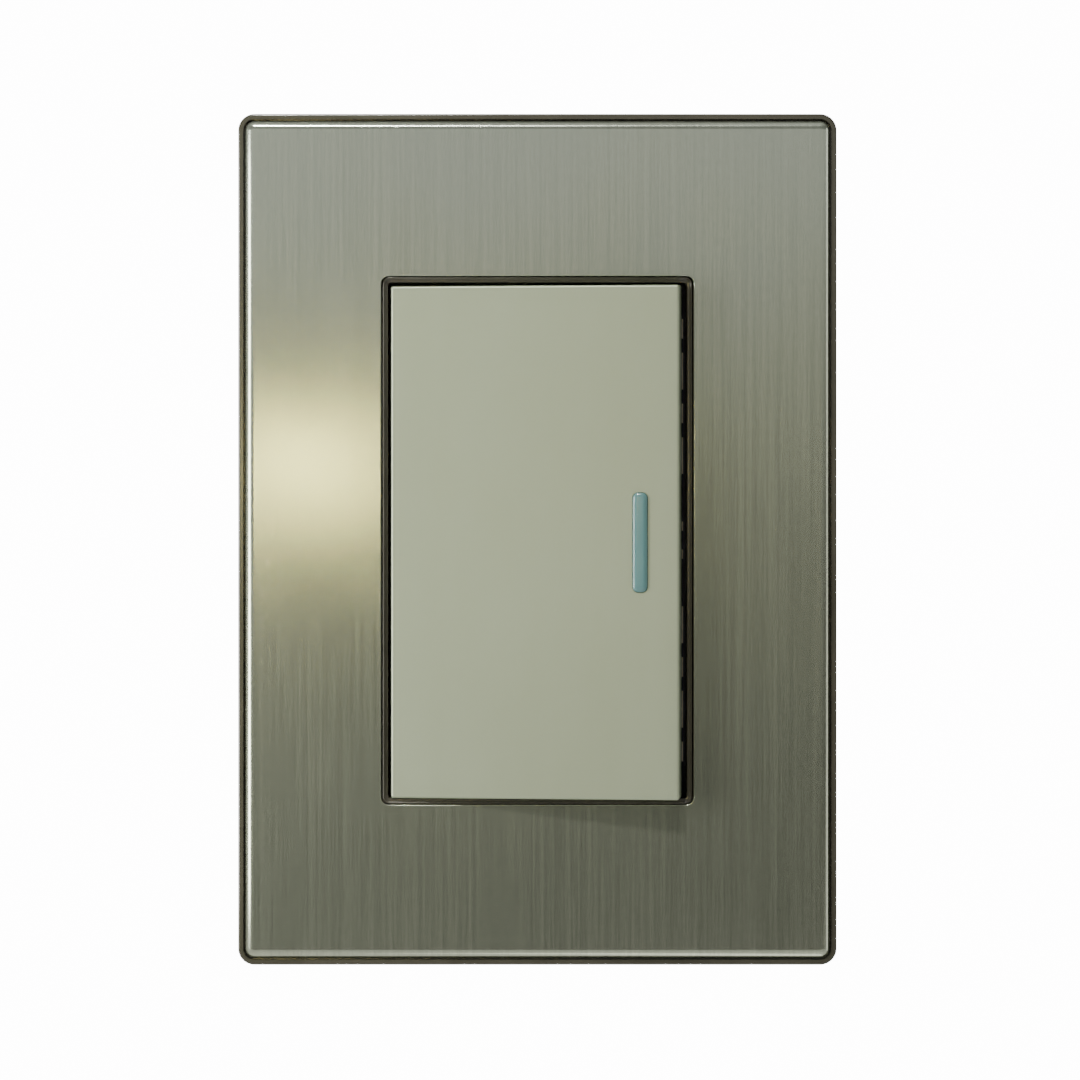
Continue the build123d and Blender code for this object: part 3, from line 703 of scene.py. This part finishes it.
def makeLensBar():
    # flange and foot behind the cap, a crowned bar through its slot
    width, height, corner = lensBar["size"]
    wall = face + rockerCap["wall"]
    flange, foot, crown = lensBar["flange"], lensBar["foot"], lensBar["crown"]
    place = rockerCap["slotPlace"]
    barFoot = (width - 2 * foot, height - 2 * foot, corner - foot)
    barFlange = (width + 2 * flange, height + 2 * flange, corner + flange)
    flangeBack = wall + lensBar["flangeDepth"]
    shapes = [
        (*barFoot, face + lensBar["footDepth"], place),
        (*barFoot, flangeBack, place),
        (*barFlange, flangeBack, place),
        (*barFlange, wall, place),
        (width, height, corner, wall, place),
    ]
    for n in range(lensBar["crownSteps"] + 1):
        angle = radians(90 * n / lensBar["crownSteps"])
        inset = crown * (1 - cos(angle))
        rise = lensBar["proud"] * sin(angle)
        shapes.append((width - 2 * inset, height - 2 * inset, corner - inset, face - rise, place))
    bm = bmesh.new()
    addSolidBody(bm, shapes)
    tiltToRest(bm)
    finishPiece(bm, "lensBar", "rocker", "lens_teal", "locator_lens")


makeSteelSheet()
makeTrimRing()
makeRockerCap()
makeLensBar()
print("front pieces made")


def shortenSpring():
    # works out what share of the spring's length would stay at the plunger's full travel, which
    # nothing uses, and gives the spring its own mesh; the spring is not pressed or moved
    slide = next(j for j in frame["joints"] if j["name"] == "plunger_slide")
    spring = frame["nodes"]["plunger_spring"]
    axis = Vector(slide["axis"]).normalized()
    along = [(spring.matrix_world @ v.co).dot(axis) for v in spring.data.vertices]
    travel = max(abs(v) for v in slide["range_m"])
    keep = 1 - travel / (max(along) - min(along))
    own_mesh(spring)


shortenSpring()


studio = {
    "distance": 0.41,      # camera to the plate's face
    "height": 0.005,
    "seen": 0.14945,       # height of the view at the plate's face
    "sensor": 36,
    "across": 0.0024,
    "along": -0.0005,
}


def lookAt(thing, target):
    thing.rotation_euler = (Vector(target) - thing.location).to_track_quat("-Z", "Y").to_euler()


def makeCamera():
    # square to the plate; the shift keeps it level while it stands a little higher
    cam = bpy.data.objects.new("camera", bpy.data.cameras.new("camera"))
    bpy.context.collection.objects.link(cam)
    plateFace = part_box("front_plate")[0][1]
    cam.location = (0, plateFace - studio["distance"], studio["height"])
    lookAt(cam, (0, 0, studio["height"]))
    cam.data.sensor_width = studio["sensor"]
    cam.data.lens = studio["sensor"] * studio["distance"] / studio["seen"]
    cam.data.shift_x = studio["across"]
    cam.data.shift_y = studio["along"] - studio["height"] / studio["seen"]
    cam.data.clip_start = 0.01
    bpy.context.scene.camera = cam


def addLight(name, look):
    data = bpy.data.lights.new(name, "AREA")
    data.shape = "RECTANGLE"
    data.size, data.size_y = look["size"]
    data.energy = look["power"]
    data.color = look["color"]
    light = bpy.data.objects.new(name, data)
    light.location = look["place"]
    bpy.context.collection.objects.link(light)
    lookAt(light, (0, 0, 0))


lights = {
    "keyLight": {
        "place": (-0.08, -0.265, 0.385), "size": (0.04, 0.04),
        "power": 1.6, "color": (1, 0.98, 0.92),
    },
    "warmLight": {
        "place": (-0.068, -0.42, 0.0145), "size": (0.02, 0.02),
        "power": 0.053, "color": (1, 0.86, 0.34),
    },
    "leftLight": {
        "place": (-0.16, -0.08, 0), "size": (0.06, 0.14),
        "power": 0.43, "color": (1, 1, 0.92),
    },
    "lowLight": {
        "place": (0.06, -0.03, -0.26), "size": (0.3, 0.06),
        "power": 0.06, "color": (1, 0.98, 0.94),
    },
    "rightLight": {
        "place": (0.3, -0.03, 0), "size": (0.06, 0.3),
        "power": 0.11, "color": (1, 0.98, 0.94),
    },
}

room = {
    "width": 6,
    "drop": 0.3,           # floor below the middle of the plate
    "front": 1.2,          # how far the floor reaches in front of the plate
    "back": 0.9,
    "rise": 4,
    "sweep": 250,          # radius from floor to wall, in mm
    "color": (0.85, 0.85, 0.85, 1),
    "roughness": 0.9,
    "glow": 14,            # of the wall, as the camera sees it
    "glowFrom": 150,       # glow begins and is full this far back, in mm
    "glowTo": 700,
    "glowToParts": 0.05,   # share of it that lights the switch
    "floorGlow": 0.06,
}


def makeStage():
    # a floor that sweeps up into a pale wall behind the switch
    bm = bmesh.new()
    made = bmesh.ops.create_grid(bm, x_segments=1, y_segments=1, size=0.5)
    reach = room["front"] + room["back"]
    bmesh.ops.scale(bm, vec=(room["width"], reach, 1), verts=made["verts"])
    middle = (0, room["back"] - reach / 2, -room["drop"])
    bmesh.ops.translate(bm, vec=middle, verts=made["verts"])
    back = [e for e in bm.edges if all(v.co.y > 0 for v in e.verts)]
    grown = bmesh.ops.extrude_edge_only(bm, edges=back)["geom"]
    risen = [g for g in grown if isinstance(g, bmesh.types.BMVert)]
    bmesh.ops.translate(bm, vec=(0, 0, room["rise"]), verts=risen)
    roundOff(bm, back, room["sweep"], 12)
    bmesh.ops.recalc_face_normals(bm, faces=bm.faces)
    mesh = bpy.data.meshes.new("floor")
    bm.to_mesh(mesh)
    bm.free()
    mesh.shade_smooth()
    floor = bpy.data.objects.new("floor", mesh)
    bpy.context.collection.objects.link(floor)
    pale = Finish("paleFloor")
    seen = pale.add("LightPath", {}, {}, "Is Camera Ray")
    away = pale.step(pale.axis("Y"), room["glowFrom"], room["glowTo"])
    share = seen * (1 - room["glowToParts"]) + room["glowToParts"]
    glow = away * share + seen * room["floorGlow"]
    pale.shade(
        Base_Color=room["color"],
        Roughness=room["roughness"],
        Emission_Color=pale.mix(glow, (0, 0, 0), (1, 1, 1)),
        Emission_Strength=room["glow"],
    )
    mesh.materials.append(pale.material)


air = {
    "seen": 0.9,           # what the camera sees past the floor
    "warmth": 0.93,
    "stops": [
        (0.0, 0.03), (0.42, 0.005), (0.5, 0.12), (0.57, 0.67), (0.63, 0.2), (0.8, 0.1), (1.0, 0.4),
    ],
}


def makeWorld():
    # dark below, brightest just above the horizon, so the metal shades from top to bottom
    world = bpy.data.worlds.new("studioAir")
    world.use_nodes = True
    tree = world.node_tree
    spot = tree.nodes.new("ShaderNodeTexCoord")
    split = tree.nodes.new("ShaderNodeSeparateXYZ")
    level = tree.nodes.new("ShaderNodeMapRange")
    ramp = tree.nodes.new("ShaderNodeValToRGB")
    rays = tree.nodes.new("ShaderNodeLightPath")
    pick = tree.nodes.new("ShaderNodeMix")
    level.inputs["From Min"].default_value = -1
    while len(ramp.color_ramp.elements) < len(air["stops"]):
        ramp.color_ramp.elements.new(0.5)
    for element, (place, light) in zip(ramp.color_ramp.elements, air["stops"]):
        element.position = place
        element.color = (light, light, light * air["warmth"], 1)
    pick.data_type = "RGBA"
    pick.inputs[7].default_value = [air["seen"]] * 3 + [1]
    tree.links.new(spot.outputs["Generated"], split.inputs[0])
    tree.links.new(split.outputs["Z"], level.inputs["Value"])
    tree.links.new(level.outputs[0], ramp.inputs[0])
    tree.links.new(rays.outputs["Is Camera Ray"], pick.inputs[0])
    tree.links.new(ramp.outputs[0], pick.inputs[6])
    tree.links.new(pick.outputs[2], tree.nodes["Background"].inputs["Color"])
    bpy.context.scene.world = world


makeCamera()
makeStage()
makeWorld()
for name, look in lights.items():
    addLight(name, look)
print("stage, camera and lights set")
